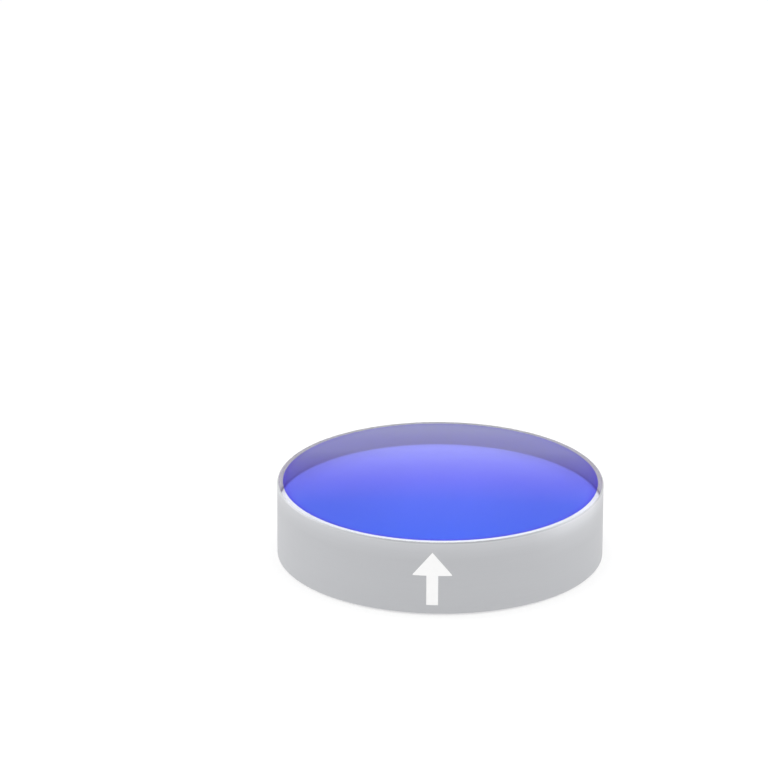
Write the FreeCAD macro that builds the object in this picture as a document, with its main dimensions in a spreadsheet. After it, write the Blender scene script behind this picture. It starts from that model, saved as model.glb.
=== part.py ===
"""Laser mirror for ultrashort pulses, lying on its back face with the coated face up.

It is a round glass substrate, ground on its barrel and back and polished on its front,
with a stack of thin reflecting layers deposited on the front face. The stack stops short
of the edge, so a flat ring of bare polished glass shows round it, and a small bevel
protects each edge of the barrel.

Millimetres. The origin is the centre of the back face, and +Z is the optical axis,
out of the coated face.
"""

import FreeCAD
import Part

import os

import Sketcher

# Driving dimensions: alias, value in mm, what it measures
SIZES = [
    ("mirror_diameter", 25.4, "outside of the ground barrel"),
    ("mirror_thickness", 6.0, "back face to polished front face"),
    ("front_bevel", 0.1, "leg of the 45 degree bevel round the front edge"),
    ("back_bevel", 0.2, "leg of the 45 degree bevel round the back edge"),
    ("bare_margin", 0.35, "flat uncoated ring, from the front bevel in to the coating"),
    ("coating_thickness", 0.006, "the whole stack of reflecting layers"),
]
PARTS_FOLDER = "parts"
EDGE_TOLERANCE = 1e-6


def make_sheet(doc):
    """The spreadsheet that every feature reads its sizes from."""
    sheet = doc.addObject("Spreadsheet::Sheet", "sizes")
    for row, (alias, value, meaning) in enumerate(SIZES, start=1):
        sheet.set(f"A{row}", alias)
        sheet.set(f"B{row}", str(value))
        sheet.set(f"C{row}", meaning)
        sheet.setAlias(f"B{row}", alias)
    doc.recompute()
    return sheet


def origin_plane(body, role):
    """One of the body's own origin planes, found by its role."""
    return next(f for f in body.Origin.OriginFeatures if f.Role == role)


def add_disc(doc, label, diameter, height):
    """A body that holds one round pad on its XY plane. Diameter and height are expressions."""
    body = doc.addObject("PartDesign::Body", label)
    body.Label = label
    sketch = body.newObject("Sketcher::SketchObject", label + "_outline")
    sketch.AttachmentSupport = [(origin_plane(body, "XY_Plane"), "")]
    sketch.MapMode = "FlatFace"
    circle = Part.Circle(FreeCAD.Vector(0, 0, 0), FreeCAD.Vector(0, 0, 1), 1.0)
    outline = sketch.addGeometry(circle, False)
    sketch.addConstraint(Sketcher.Constraint("Coincident", outline, 3, -1, 1))
    across = sketch.addConstraint(Sketcher.Constraint("Diameter", outline, 2.0))
    sketch.renameConstraint(across, "across")
    sketch.setExpression("Constraints.across", diameter)
    pad = body.newObject("PartDesign::Pad", label + "_pad")
    pad.Profile = sketch
    pad.setExpression("Length", height)
    sketch.Visibility = False
    doc.recompute()
    return body, pad


def rim_edge(shape, height):
    """The name of the circular edge that lies at this height."""
    for number, edge in enumerate(shape.Edges, start=1):
        box = edge.BoundBox
        if max(abs(box.ZMin - height), abs(box.ZMax - height)) < EDGE_TOLERANCE:
            return f"Edge{number}"
    raise ValueError(f"no rim edge at height {height}")


def bevel_rim(doc, body, base, label, height, leg):
    """Bevels one rim of the disc at 45 degrees. Leg is an expression."""
    bevel = body.newObject("PartDesign::Chamfer", label)
    bevel.Base = (base, [rim_edge(base.Shape, height)])
    bevel.setExpression("Size", leg)
    doc.recompute()
    return bevel


def make_substrate(doc, sheet):
    """The glass disc: core-drilled and ground round, both rims bevelled, front face polished flat."""
    body, disc = add_disc(
        doc, "substrate", "sizes.mirror_diameter", "sizes.mirror_thickness"
    )
    front = bevel_rim(
        doc, body, disc, "front_edge_bevel", sheet.mirror_thickness, "sizes.front_bevel"
    )
    bevel_rim(doc, body, front, "back_edge_bevel", 0.0, "sizes.back_bevel")
    return body


def make_coating(doc):
    """The stack of reflecting layers, grown on the polished front face inside the bare margin."""
    body, _ = add_disc(
        doc,
        "reflective_coating",
        "sizes.mirror_diameter - 2 * (sizes.front_bevel + sizes.bare_margin)",
        "sizes.coating_thickness",
    )
    body.setExpression("Placement.Base.z", "sizes.mirror_thickness")
    doc.recompute()
    return body


def check(doc, bodies):
    """Stops the build if a feature failed or a sub-part isn't one sound solid."""
    failed = [o.Label for o in doc.Objects if {"Invalid", "Error"} & set(o.State)]
    if failed:
        raise RuntimeError(f"failed features: {failed}")
    for body in bodies:
        shape = body.Shape
        if shape.isNull() or not shape.isValid() or len(shape.Solids) != 1:
            raise RuntimeError(f"{body.Label} isn't one valid solid")


def main():
    doc = FreeCAD.newDocument("laser_mirror")
    sheet = make_sheet(doc)
    bodies = [make_substrate(doc, sheet), make_coating(doc)]
    doc.recompute()
    check(doc, bodies)
    os.makedirs(PARTS_FOLDER, exist_ok=True)
    for body in bodies:
        body.Shape.exportStep(os.path.join(PARTS_FOLDER, body.Label + ".step"))
        print(f"{body.Label}: {body.Shape.Volume:.4f} mm3")
    return doc


main()
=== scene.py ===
"""Looks of the laser mirror: polished and ground glass, the coating and the arrow mark.

Lengths are in metres, in the part's frame: the back face is at height 0, and +Z is the
optical axis. The disc's radius, thickness and coated radius are read from the frame.
"""

import math

import bpy
import numpy as np
from mathutils import Matrix, Vector


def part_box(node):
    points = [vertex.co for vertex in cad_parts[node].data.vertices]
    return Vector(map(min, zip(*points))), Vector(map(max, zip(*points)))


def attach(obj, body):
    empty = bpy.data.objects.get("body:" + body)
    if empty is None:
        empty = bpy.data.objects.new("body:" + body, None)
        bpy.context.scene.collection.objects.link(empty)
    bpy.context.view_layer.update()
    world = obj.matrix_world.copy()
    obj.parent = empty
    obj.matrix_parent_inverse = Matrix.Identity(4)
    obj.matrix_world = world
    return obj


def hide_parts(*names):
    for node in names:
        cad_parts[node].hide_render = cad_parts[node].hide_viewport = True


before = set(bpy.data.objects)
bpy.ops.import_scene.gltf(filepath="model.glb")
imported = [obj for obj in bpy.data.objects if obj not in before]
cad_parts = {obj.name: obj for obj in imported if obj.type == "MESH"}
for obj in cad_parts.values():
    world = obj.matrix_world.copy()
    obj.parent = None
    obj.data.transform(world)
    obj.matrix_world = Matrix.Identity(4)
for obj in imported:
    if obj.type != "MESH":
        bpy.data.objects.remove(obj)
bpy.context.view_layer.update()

MM = 0.001
WHITE = (1.0, 1.0, 1.0)

# The disc, from the highest corners of its boxes in the frame
GLASS_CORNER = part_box("substrate")[1]
COAT_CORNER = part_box("reflective_coating")[1]
RADIUS = GLASS_CORNER.x
THICKNESS = GLASS_CORNER.z
COATED_RADIUS = COAT_CORNER.x
COAT_TOP = COAT_CORNER.z

# The legs of the bevels, which no box gives, as in the part's source
FRONT_BEVEL = 0.1 * MM
BACK_BEVEL = 0.2 * MM

# How the meshes are made: steps round the axis, where the inner ring of a flat face lies as a
# share of its radius, the gap under the coating, and the angle from which an edge looks sharp
SEGMENTS = 720
INNER_RING = 0.5
LAYER_GAP = 0.001 * MM
SHARP_ANGLE = math.radians(20)

# Polished glass. Scales, here and below, are in patches of noise a metre.
GLASS_IOR = 1.453
HAZE_SCALE = 900.0
HAZE_ROUGHNESS = 0.012
TINT_SCALE = 160.0
POLISHED_TINTS = ((0.8, 0.85, 0.99), (0.82, 0.87, 1.0))

# Ground glass: its grain, and the grinding lines round the axis
GRAIN_SCALE = 14000.0
GRAIN_DETAIL = 3.0
GRAIN_CRISPNESS = 0.6
LINES_SCALE = (300.0, 300.0, 9000.0)
LINES_SHARE = 0.4
GROUND_IOR = 1.6
GROUND_BUMP = 0.25
BUMP_DEPTH = 0.002 * MM
# Painted light: the pale colour that scattered light finds inside the ground glass, in place of
# the light that the glass lets through
PALE_INSIDE = (0.95, 0.95, 0.95)

# The three ground finishes: the barrel's, the front bevel's, and that of the back with its bevel.
# Pale and dull are the two colours of the grain. Painted light and shade then make the colour
# lighter or darker at a height, and a painted glow lightens it near the rim: as much as the
# glow at a height, times the share at a distance from the axis along a direction. From within
# the glass other colours show, by height or by distance from the axis, times a painted falloff
# along the same direction. These are painted light and shade, darker than PALE_INSIDE, which
# scattered light finds there instead. The roughness is the least and the most outside, and
# the one inside.
# The direction round the barrel of the painted glow, a painted highlight under the rim
PAINTED_GLOW_ANGLE = math.radians(-33)
# Barrel: painted light makes it lighter towards the top, and the painted glow lightens it
# under the rim. Its inside is painted shade, darker and bluer just under the front.
BARREL = {
    "pale": (0.63, 0.64, 0.665),
    "dull": (0.57, 0.58, 0.605),
    "painted_shading": (
        (0.0, 0.79),
        (4.5 * MM, 0.78),
        (5.1 * MM, 0.82),
        (5.6 * MM, 0.88),
        (5.88 * MM, 0.92),
    ),
    "glow": ((0.0, 0.0), (3.4 * MM, 0.01), (4.8 * MM, 0.1), (5.9 * MM, 0.3)),
    "shares": (
        (0.83 * RADIUS, 0.0),
        (0.92 * RADIUS, 0.1),
        (0.966 * RADIUS, 0.5),
        (0.99 * RADIUS, 0.9),
        (RADIUS, 0.95),
    ),
    "along": (math.cos(PAINTED_GLOW_ANGLE), math.sin(PAINTED_GLOW_ANGLE), 0.0),
    "inside": (
        (0.2 * MM, (0.185, 0.19, 0.19)),
        (1.6 * MM, (0.185, 0.19, 0.193)),
        (4.0 * MM, (0.187, 0.19, 0.191)),
        (5.3 * MM, (0.178, 0.182, 0.184)),
        (THICKNESS, (0.135, 0.14, 0.19)),
    ),
    "inside_by": "height",
    "painted_falloff": ((-RADIUS, 1.0), (RADIUS, 1.0)),
    "roughness": (0.4, 0.52, 0.16),
}
# Front bevel: painted shade makes it darker than the barrel all round, and painted highlights
# lighten it towards both ends along X.
BEVEL = {
    **BARREL,
    "painted_shading": ((0.0, 0.53), (THICKNESS, 0.53)),
    "glow": ((0.0, 0.5), (THICKNESS, 0.5)),
    "shares": (
        (-RADIUS, 0.5),
        (-0.87 * RADIUS, 1.0),
        (-0.6 * RADIUS, 0.4),
        (-0.3 * RADIUS, 0.15),
        (0.3 * RADIUS, 0.06),
        (0.6 * RADIUS, 0.35),
        (0.85 * RADIUS, 0.95),
        (RADIUS, 0.35),
    ),
    "along": (1.0, 0.0, 0.0),
    "roughness": (0.14, 0.2, 0.16),
}
# Back: painted shade darkens its bevel towards the barrel. Inside, painted light lightens a ring
# just within the edge, and painted shade darkens the very edge and the sides along X.
BACK = {
    "pale": (0.94, 0.94, 0.95),
    "dull": (0.88, 0.88, 0.89),
    "painted_shading": ((0.0, 1.0), (0.05 * MM, 0.85), (0.2 * MM, 0.75)),
    "glow": ((0.0, 0.0), (THICKNESS, 0.0)),
    "shares": ((-RADIUS, 0.0), (RADIUS, 0.0)),
    "along": (1.0, 0.0, 0.0),
    "inside": (
        (0.0, (0.84, 0.84, 0.83)),
        (0.6 * RADIUS, (0.84, 0.84, 0.83)),
        (RADIUS - 0.2 * MM, (0.92, 0.92, 0.9)),
        (RADIUS - 0.14 * MM, (0.85, 0.85, 0.84)),
        (RADIUS - 0.04 * MM, (0.25, 0.25, 0.26)),
    ),
    "inside_by": "radius",
    "painted_falloff": (
        (-0.94 * RADIUS, 0.97),
        (-0.8 * RADIUS, 0.87),
        (-0.2 * RADIUS, 1.0),
        (0.2 * RADIUS, 1.0),
        (0.8 * RADIUS, 0.87),
        (0.94 * RADIUS, 0.97),
    ),
    "roughness": (0.4, 0.52, 0.04),
}

# The coating: its deep blue, made paler towards +Y by painted light, and the run-out round its
# edge, where the layers thin out
COATING_TINTS_AND_PAINTED_LIGHT = ((-RADIUS, (0.104, 0.193, 0.955)), (RADIUS, (0.235, 0.25, 0.89)))
RUNOUT_WIDTH = 0.6 * MM
RUNOUT_TINT = (0.14, 0.155, 0.9)

# The arrow mark on the barrel, which takes the last few micrometres of the radius. A blunt is
# the height that each outer end of the arrow's head keeps.
MARK_ANGLE = math.radians(-92.5)
MARK_HEIGHT = 3.05 * MM
MARK_LENGTH = 4.3 * MM
MARK_WIDTH = 3.0 * MM
MARK_HEAD = 1.9 * MM
MARK_SHAFT = 0.9 * MM
MARK_BLUNT = 0.08 * MM
MARK_THICKNESS = 0.006 * MM
MARK_GAP = 0.002 * MM
MARK_COLUMNS = 61
BARREL_RADIUS = RADIUS - MARK_THICKNESS - MARK_GAP

# The mark's white glass ink
INK_CLOUD_SCALE = 2500.0
INK_CLOUD_DETAIL = 4.0
INK_GRAIN_SCALE = 20000.0
INK_WHITES = ((0.94, 0.94, 0.94), (0.98, 0.98, 0.98))
INK_ROUGHNESS = (0.5, 0.65)
INK_IOR = 1.5
INK_BUMP = 0.3

# The camera, fitted to the outline in the photograph
IMAGE_PX = 768
FACE_CENTRE_PX = (440.40, 480.54)
FOCAL_PX = 5250.0
VIEW_DISTANCE = 408.3 * MM
VIEW_ELEVATION = math.radians(21.818)
VIEW_ROLL = math.radians(0.455)
SENSOR_MM = 36.0
CLIP_RANGE = (10 * MM, 10.0)

# The surround's strength, to most rays and to scattered light
SURROUND_STRENGTHS = (1.0, 0.8)

# The floor: how far it reaches, how far it lies below the back face, the grey that it shades,
# and how much of it is plain white instead
FLOOR_REACH = 3.0
FLOOR_DROP = 0.01 * MM
FLOOR_GREY = (0.9, 0.9, 0.9)
FLOOR_WHITE_SHARE = 0.65

# The light tent, and its colours up the wall
TENT_SEGMENTS = 96
TENT_RADIUS = 100 * MM
TENT_HEIGHT = 160 * MM
TENT_STRENGTH = 2.5
TENT_GLOW = (
    (30.0 * MM, (0.3, 0.3, 0.3)),
    (37.0 * MM, (0.55, 0.55, 0.6)),
    (39.5 * MM, (0.64, 0.64, 0.68)),
    (40.5 * MM, (0.71, 0.69, 0.66)),
    (41.3 * MM, (0.62, 0.58, 0.62)),
    (42.0 * MM, (0.55, 0.5, 0.56)),
    (42.6 * MM, (0.55, 0.5, 0.52)),
    (43.2 * MM, (0.44, 0.375, 0.38)),
    (44.0 * MM, (0.34, 0.25, 0.34)),
    (45.0 * MM, (0.23, 0.14, 0.27)),
    (46.0 * MM, (0.145, 0.055, 0.2)),
    (48.3 * MM, (0.0, 0.0, 0.05)),
    (50.7 * MM, (0.0, 0.0, 0.0)),
    (54.0 * MM, (0.0, 0.0, 0.0)),
    (68.0 * MM, (0.32, 0.32, 0.32)),
    (TENT_HEIGHT, (0.4, 0.4, 0.4)),
)

# Soft boxes: name, place, width and power in watts
LAMPS = (
    ("top_lamp", (0.0, 0.0, 260 * MM), 200 * MM, 0.42),
    ("left_lamp", (-170 * MM, 20 * MM, 90 * MM), 80 * MM, 0.045),
    ("right_lamp", (170 * MM, 20 * MM, 90 * MM), 80 * MM, 0.03),
)


class Nodes:
    """A short way to write a shader: each call adds nodes and links what it is given."""

    def __init__(self, tree):
        self.tree = tree
        tree.nodes.clear()

    def add(self, kind, settings=None, **inputs):
        """Adds a node and gives it its inputs, each a socket to link or a value.

        An input has the name that it has on the node, with _ for a space, or i and its number.
        A colour is three numbers.
        """
        node = self.tree.nodes.new(kind)
        for key, value in (settings or {}).items():
            setattr(node, key, value)
        for key, value in inputs.items():
            numbered = key[0] == "i" and key[1:].isdigit()
            socket = node.inputs[int(key[1:]) if numbered else key.replace("_", " ")]
            if isinstance(value, bpy.types.NodeSocket):
                self.tree.links.new(value, socket)
            elif socket.type == "RGBA":
                socket.default_value = (*value, 1)
            else:
                socket.default_value = value
        return node

    def place(self):
        """The place of a point of the surface."""
        return self.add("ShaderNodeTexCoord").outputs["Object"]

    def noise(self, place, scale, detail=2.0, crispness=0.5):
        """A number between 0 and 1 that varies smoothly with the place."""
        node = self.add(
            "ShaderNodeTexNoise", Vector=place, Scale=scale, Detail=detail, Roughness=crispness
        )
        return node.outputs["Fac"]

    def between(self, share, low, high):
        """A number that goes from low to high as the share goes from 0 to 1."""
        return self.add("ShaderNodeMapRange", Value=share, To_Min=low, To_Max=high).outputs[0]

    def blend(self, share, first, second):
        """A colour that goes from the first to the second as the share goes from 0 to 1."""
        mix = self.add("ShaderNodeMix", {"data_type": "RGBA"}, Factor=share, i6=first, i7=second)
        return mix.outputs[2]

    def graded(self, value, low, high, stops):
        """A colour graded over a value between low and high. A stop is a value and its colour."""
        share = self.add("ShaderNodeMapRange", Value=value, From_Min=low, From_Max=high)
        ramp = self.add("ShaderNodeValToRGB", Fac=share.outputs[0])
        elements = ramp.color_ramp.elements
        while len(elements) < len(stops):
            elements.new(0.5)
        for element, (at, colour) in zip(elements, stops):
            element.position = (at - low) / (high - low)
            element.color = (*colour, 1)
        return ramp.outputs["Color"]

    def vector(self, operation, *inputs):
        """A node of vector arithmetic, which takes colours as well as vectors."""
        numbered = {f"i{number}": value for number, value in enumerate(inputs)}
        return self.add("ShaderNodeVectorMath", {"operation": operation}, **numbered)

    def axis_distance(self, place):
        """The distance of a place from Z: the length of (x, y, 0)."""
        flat = self.vector("MULTIPLY", place, (1.0, 1.0, 0.0)).outputs[0]
        return self.vector("LENGTH", flat).outputs["Value"]

    def surface(self, shader):
        """Puts the shader on the surface."""
        self.add("ShaderNodeOutputMaterial", Surface=shader.outputs[0])


def greys(stops):
    """Stops with one number each, as grey colours."""
    return [(at, (tone, tone, tone)) for at, tone in stops]


def new_material(name):
    """A material with no nodes yet, and the way to add them."""
    material = bpy.data.materials.new(name)
    material.use_nodes = True
    return material, Nodes(material.node_tree)


def polished_glass():
    """Clear fused silica with an optical polish. Shadows and scattered light pass straight."""
    material, nodes = new_material("polished_glass")
    place = nodes.place()
    shader = nodes.add(
        "ShaderNodeBsdfPrincipled",
        Base_Color=nodes.blend(nodes.noise(place, TINT_SCALE), *POLISHED_TINTS),
        Roughness=nodes.between(nodes.noise(place, HAZE_SCALE), 0.0, HAZE_ROUGHNESS),
        IOR=GLASS_IOR,
        Transmission_Weight=1.0,
    )
    clear = nodes.add("ShaderNodeBsdfTransparent").outputs[0]
    light = nodes.add("ShaderNodeLightPath")
    for ray in ("Is Shadow Ray", "Is Diffuse Ray"):
        passes = light.outputs[ray]
        shader = nodes.add("ShaderNodeMixShader", i0=passes, i1=shader.outputs[0], i2=clear)
    nodes.surface(shader)
    return material


def ground_glass(
    name, pale, dull, painted_shading, glow, shares, along, inside, inside_by, painted_falloff, roughness
):
    """Fine-ground glass: matt, with a faint grain and faint grinding lines.

    Outside, its colour lies between dull and pale as grain and lines say, times painted light
    and shade: the tone at a height plus the painted glow, glow times share. Within, it is the
    inside colour, painted light and shade, times a painted falloff.
    """
    material, nodes = new_material(name)
    place = nodes.place()
    grain = nodes.noise(place, GRAIN_SCALE, GRAIN_DETAIL, GRAIN_CRISPNESS)
    stretched = nodes.add("ShaderNodeMapping", Vector=place, Scale=LINES_SCALE).outputs[0]
    lines = nodes.noise(stretched, 1.0)
    pattern = nodes.add("ShaderNodeMix", Factor=LINES_SHARE, i2=grain, i3=lines).outputs[0]

    height = nodes.add("ShaderNodeSeparateXYZ", Vector=place).outputs["Z"]
    across = nodes.vector("DOT_PRODUCT", place, along).outputs["Value"]
    # Painted light and shade by height, plus the painted glow near the rim
    tone = nodes.graded(height, 0.0, THICKNESS, greys(painted_shading))
    painted_glow = nodes.graded(height, 0.0, THICKNESS, greys(glow))
    share = nodes.graded(across, -RADIUS, RADIUS, greys(shares))
    light = nodes.vector("MULTIPLY_ADD", painted_glow, share, tone).outputs[0]
    outer_colour = nodes.vector("MULTIPLY", nodes.blend(pattern, dull, pale), light).outputs[0]

    # Inside: painted light and shade, darker than PALE_INSIDE, times the painted falloff across
    if inside_by == "height":
        inner_colour = nodes.graded(height, 0.0, THICKNESS, inside)
    else:
        inner_colour = nodes.graded(nodes.axis_distance(place), 0.0, RADIUS, inside)
    painted_falloff_factor = nodes.graded(across, -RADIUS, RADIUS, greys(painted_falloff))
    inner_colour = nodes.vector("MULTIPLY", inner_colour, painted_falloff_factor).outputs[0]
    scattered = nodes.add("ShaderNodeLightPath").outputs["Is Diffuse Ray"]
    inner_colour = nodes.blend(scattered, inner_colour, PALE_INSIDE)

    from_within = nodes.add("ShaderNodeNewGeometry").outputs["Backfacing"]
    least, most, inner = roughness
    outer = nodes.between(grain, least, most)
    bump = nodes.add("ShaderNodeBump", Strength=GROUND_BUMP, Distance=BUMP_DEPTH, Height=pattern)
    shader = nodes.add(
        "ShaderNodeBsdfPrincipled",
        Base_Color=nodes.blend(from_within, outer_colour, inner_colour),
        Roughness=nodes.add("ShaderNodeMix", Factor=from_within, i2=outer, i3=inner).outputs[0],
        IOR=GROUND_IOR,
        Normal=bump.outputs[0],
    )
    nodes.surface(shader)
    return material


def reflecting_layers():
    """Thin layers that let a deep blue through, duller at the run-out.

    Painted light makes them paler towards +Y.
    """
    material, nodes = new_material("reflecting_layers")
    place = nodes.place()
    runout = nodes.add(
        "ShaderNodeMapRange",
        {"interpolation_type": "SMOOTHSTEP"},
        Value=nodes.axis_distance(place),
        From_Min=COATED_RADIUS - RUNOUT_WIDTH,
        From_Max=COATED_RADIUS,
    )
    y = nodes.add("ShaderNodeSeparateXYZ", Vector=place).outputs["Y"]
    # Painted light: the blue grows paler towards +Y
    tint_and_painted_light = nodes.graded(y, -RADIUS, RADIUS, COATING_TINTS_AND_PAINTED_LIGHT)
    shader = nodes.add(
        "ShaderNodeBsdfPrincipled",
        Base_Color=nodes.blend(runout.outputs[0], tint_and_painted_light, RUNOUT_TINT),
        Roughness=0.0,
        IOR=GLASS_IOR,
        Transmission_Weight=1.0,
    )
    nodes.surface(shader)
    return material


def mark_white():
    """Matt white glass ink, a little uneven."""
    material, nodes = new_material("mark_white")
    place = nodes.place()
    cloud = nodes.noise(place, INK_CLOUD_SCALE, INK_CLOUD_DETAIL)
    grain = nodes.noise(place, INK_GRAIN_SCALE)
    bump = nodes.add("ShaderNodeBump", Strength=INK_BUMP, Distance=BUMP_DEPTH, Height=grain)
    shader = nodes.add(
        "ShaderNodeBsdfPrincipled",
        Base_Color=nodes.blend(cloud, *INK_WHITES),
        Roughness=nodes.between(grain, *INK_ROUGHNESS),
        IOR=INK_IOR,
        Normal=bump.outputs[0],
    )
    nodes.surface(shader)
    return material


def add_object(name, data):
    """Puts a new object in the scene."""
    made = bpy.data.objects.new(name, data)
    bpy.context.scene.collection.objects.link(made)
    return made


def add_piece(name, mesh):
    """Puts a piece in the scene, shaded smooth with sharp edges at its corners."""
    mesh.shade_smooth()
    mesh.set_sharp_from_angle(angle=SHARP_ANGLE)
    return add_object(name, mesh)


def revolve(name, rings, finishes, bands):
    """A closed surface of revolution about Z.

    Ring j is the circle of radius rings[j][0] at height rings[j][1]. Its point i lies at the
    angle 2 pi i / SEGMENTS. Neighbouring rings are joined by a band of quads, and the first and
    the last ring are closed by a fan round a pole. Rings run so that the faces point outwards:
    from the back pole outwards, up the barrel and inwards over the front. bands says which of
    the finishes each band has, with the two fans first and last.
    """
    rings = np.asarray(rings, float)
    count = len(rings)
    angle = 2 * np.pi * np.arange(SEGMENTS) / SEGMENTS
    points = np.empty((count, SEGMENTS, 3))
    points[:, :, 0] = rings[:, 0:1] * np.cos(angle)
    points[:, :, 1] = rings[:, 0:1] * np.sin(angle)
    points[:, :, 2] = rings[:, 1:2]
    poles = np.array([[0, 0, rings[0, 1]], [0, 0, rings[-1, 1]]])
    vertices = np.concatenate([points.reshape(-1, 3), poles])
    back_pole = count * SEGMENTS
    front_pole = back_pole + 1
    here = np.arange(SEGMENTS)
    after = (here + 1) % SEGMENTS
    row = np.arange(count - 1)[:, None] * SEGMENTS
    quads = np.stack([row + here, row + after, row + SEGMENTS + after, row + SEGMENTS + here], 2)
    last = (count - 1) * SEGMENTS
    back_fan = np.stack([after, here, np.full(SEGMENTS, back_pole)], 1)
    front_fan = np.stack([last + here, last + after, np.full(SEGMENTS, front_pole)], 1)
    faces = [*back_fan.tolist(), *quads.reshape(-1, 4).tolist(), *front_fan.tolist()]
    mesh = bpy.data.meshes.new(name)
    mesh.from_pydata(vertices.tolist(), [], faces)
    for finish in finishes:
        mesh.materials.append(finish)
    mesh.polygons.foreach_set("material_index", np.repeat(bands, SEGMENTS).astype(np.int32))
    return add_piece(name, mesh)


def make_substrate():
    """The glass disc: ground back, bevels and barrel, polished front."""
    face = BARREL_RADIUS - FRONT_BEVEL
    back = BARREL_RADIUS - BACK_BEVEL
    rings = (
        (back * INNER_RING, 0.0),
        (back, 0.0),
        (BARREL_RADIUS, BACK_BEVEL),
        (BARREL_RADIUS, THICKNESS - FRONT_BEVEL),
        (face, THICKNESS),
        (face * INNER_RING, THICKNESS),
    )
    finishes = (
        ground_glass("ground_glass_barrel", **BARREL),
        ground_glass("ground_glass_bevel", **BEVEL),
        ground_glass("ground_glass_back", **BACK),
        polished_glass(),
    )
    on_barrel, on_bevel, on_back, on_front = range(len(finishes))
    bands = (on_back, on_back, on_back, on_barrel, on_bevel, on_front, on_front)
    piece = revolve("glass_substrate", rings, finishes, bands)
    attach(piece, "root")
    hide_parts("substrate")


def make_coating():
    """The stack of layers: a disc a few micrometres thick on the polished front."""
    rings = ((COATED_RADIUS, THICKNESS + LAYER_GAP), (COATED_RADIUS, COAT_TOP))
    piece = revolve("coating", rings, [reflecting_layers()], (0, 0, 0))
    # The layers tint what is seen through them, but not the light that lights the glass
    piece.visible_diffuse = False
    piece.visible_shadow = False
    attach(piece, "root")
    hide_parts("reflective_coating")


def make_arrow_mark():
    """The white arrow on the barrel, which points to the coated face.

    Its flat shape is a grid over s, the way round the barrel, and height. The shaft is a strip
    between two heights. The head lies above it, between its base and a roof that falls from the
    tip in proportion to the distance from the middle. The shape is wrapped round the barrel,
    angle = middle + s / radius, as a closed shell with an inner and an outer skin.
    """
    s = np.linspace(-MARK_WIDTH / 2, MARK_WIDTH / 2, MARK_COLUMNS)
    tail = MARK_HEIGHT - MARK_LENGTH / 2
    tip = MARK_HEIGHT + MARK_LENGTH / 2
    base = tip - MARK_HEAD
    roof = tip - (MARK_HEAD - MARK_BLUNT) * np.abs(s) / (MARK_WIDTH / 2)
    rows = (np.full_like(s, tail), np.full_like(s, base), roof)
    heights = np.concatenate(rows)
    column = np.arange(MARK_COLUMNS - 1)
    quads = np.stack([column, column + 1, column + 1 + MARK_COLUMNS, column + MARK_COLUMNS], 1)
    in_shaft = np.abs((s[1:] + s[:-1]) / 2) < MARK_SHAFT / 2
    quads = np.concatenate([quads[in_shaft], quads + MARK_COLUMNS])
    used, quads = np.unique(quads, return_inverse=True)
    quads = quads.reshape(-1, 4)
    angle = MARK_ANGLE + np.tile(s, len(rows))[used] / RADIUS
    skins = []
    for radius in (RADIUS, RADIUS - MARK_THICKNESS):
        skins.append(np.stack([radius * np.cos(angle), radius * np.sin(angle), heights[used]], 1))
    # The walls stand on the outline: the edges that no neighbouring quad has the other way round
    count = len(used)
    start = quads.reshape(-1)
    end = np.roll(quads, -1, axis=1).reshape(-1)
    outline = ~np.isin(start * count + end, end * count + start)
    start, end = start[outline], end[outline]
    walls = np.stack([end, start, start + count, end + count], 1)
    faces = np.concatenate([quads, quads[:, ::-1] + count, walls])
    mesh = bpy.data.meshes.new("arrow_mark")
    mesh.from_pydata(np.concatenate(skins).tolist(), [], faces.tolist())
    mesh.materials.append(mark_white())
    piece = add_piece("arrow_mark", mesh)
    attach(piece, "root")


def make_camera():
    """A pinhole camera that puts the face's centre on its pixel in the photograph.

    It starts level and looking at the face's centre, is turned until that centre lies on its
    pixel, and is then rolled about the line of sight.
    """
    camera = add_object("camera", bpy.data.cameras.new("camera"))
    bpy.context.scene.camera = camera
    camera.data.sensor_width = SENSOR_MM
    camera.data.lens = FOCAL_PX * SENSOR_MM / IMAGE_PX
    camera.data.clip_start, camera.data.clip_end = CLIP_RANGE
    face_centre = Vector((0, 0, THICKNESS))
    back = Vector((0, -math.cos(VIEW_ELEVATION), math.sin(VIEW_ELEVATION)))
    level = (-back).to_track_quat("-Z", "Y").to_matrix()
    right = FACE_CENTRE_PX[0] - IMAGE_PX / 2
    down = FACE_CENTRE_PX[1] - IMAGE_PX / 2
    sight = Vector((right, -down, -FOCAL_PX)).normalized()
    yaw = math.atan2(right, FOCAL_PX)
    pitch = math.asin(sight.y)
    turn = Matrix.Rotation(-yaw, 3, "Y") @ Matrix.Rotation(pitch, 3, "X")
    roll = Matrix.Rotation(VIEW_ROLL, 3, sight)
    rotation = level @ (roll @ turn).transposed()
    place = face_centre + back * VIEW_DISTANCE
    camera.matrix_world = Matrix.Translation(place) @ rotation.to_4x4()


def make_world():
    """A plain white surround, which lights the object evenly."""
    world = bpy.data.worlds.new("surround")
    bpy.context.scene.world = world
    world.use_nodes = True
    nodes = Nodes(world.node_tree)
    scattered = nodes.add("ShaderNodeLightPath").outputs["Is Diffuse Ray"]
    strength = nodes.between(scattered, *SURROUND_STRENGTHS)
    shader = nodes.add("ShaderNodeBackground", Color=WHITE, Strength=strength)
    nodes.add("ShaderNodeOutputWorld", Surface=shader.outputs[0])


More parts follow.
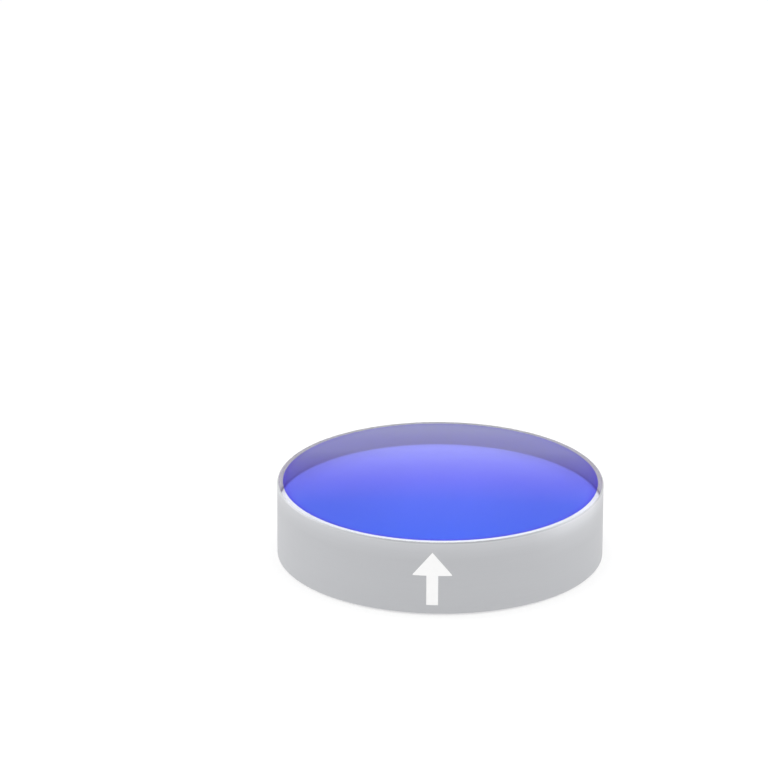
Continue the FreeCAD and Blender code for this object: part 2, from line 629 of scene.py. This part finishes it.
def make_floor():
    """A plain white floor, which keeps the object's shadow and is clear from underneath.

    It is one large triangle, so no inner edge crosses the view.
    """
    mesh = bpy.data.meshes.new("floor")
    near, far, drop = -FLOOR_REACH, 2 * FLOOR_REACH, -FLOOR_DROP
    mesh.from_pydata([(-far, near, drop), (far, near, drop), (0.0, far, drop)], [], [(0, 1, 2)])
    material, nodes = new_material("white_floor")
    shaded = nodes.add("ShaderNodeBsdfDiffuse", Color=FLOOR_GREY).outputs[0]
    plain = nodes.add("ShaderNodeEmission", Color=WHITE, Strength=1.0).outputs[0]
    above = nodes.add("ShaderNodeMixShader", i0=FLOOR_WHITE_SHARE, i1=shaded, i2=plain).outputs[0]
    clear = nodes.add("ShaderNodeBsdfTransparent").outputs[0]
    below = nodes.add("ShaderNodeNewGeometry").outputs["Backfacing"]
    nodes.surface(nodes.add("ShaderNodeMixShader", i0=below, i1=above, i2=clear))
    mesh.materials.append(material)
    add_object("floor", mesh)


def make_tent():
    """A light tent round the object, seen only in reflections, with a glow graded up its wall.

    It is an open cylinder about Z that stands at height 0.
    """
    angle = 2 * np.pi * np.arange(TENT_SEGMENTS) / TENT_SEGMENTS
    foot = np.stack([np.cos(angle), np.sin(angle), np.zeros(TENT_SEGMENTS)], 1) * TENT_RADIUS
    top = foot + (0, 0, TENT_HEIGHT)
    here = np.arange(TENT_SEGMENTS)
    after = (here + 1) % TENT_SEGMENTS
    faces = np.stack([here, here + TENT_SEGMENTS, after + TENT_SEGMENTS, after], 1)
    mesh = bpy.data.meshes.new("light_tent")
    mesh.from_pydata(np.concatenate([foot, top]).tolist(), [], faces.tolist())
    material, nodes = new_material("tent_glow")
    height = nodes.add("ShaderNodeSeparateXYZ", Vector=nodes.place()).outputs["Z"]
    glow = nodes.graded(height, TENT_GLOW[0][0], TENT_HEIGHT, TENT_GLOW)
    nodes.surface(nodes.add("ShaderNodeEmission", Color=glow, Strength=TENT_STRENGTH))
    mesh.materials.append(material)
    tent = add_object("light_tent", mesh)
    tent.visible_camera = False
    tent.visible_diffuse = False
    tent.visible_transmission = False
    tent.visible_shadow = False


def make_lamp(name, place, across, watts):
    """A round soft box that shines at the disc and is seen in no reflection."""
    light = bpy.data.lights.new(name, "AREA")
    light.shape = "DISK"
    light.size = across
    light.energy = watts
    lamp = add_object(name, light)
    lamp.location = place
    lamp.rotation_euler = Vector(place).to_track_quat("Z", "Y").to_euler()
    lamp.visible_camera = False
    lamp.visible_glossy = False


make_camera()
make_world()
make_floor()
make_tent()
for lamp in LAMPS:
    make_lamp(*lamp)
make_substrate()
make_coating()
make_arrow_mark()
bpy.context.scene.view_settings.view_transform = "Standard"
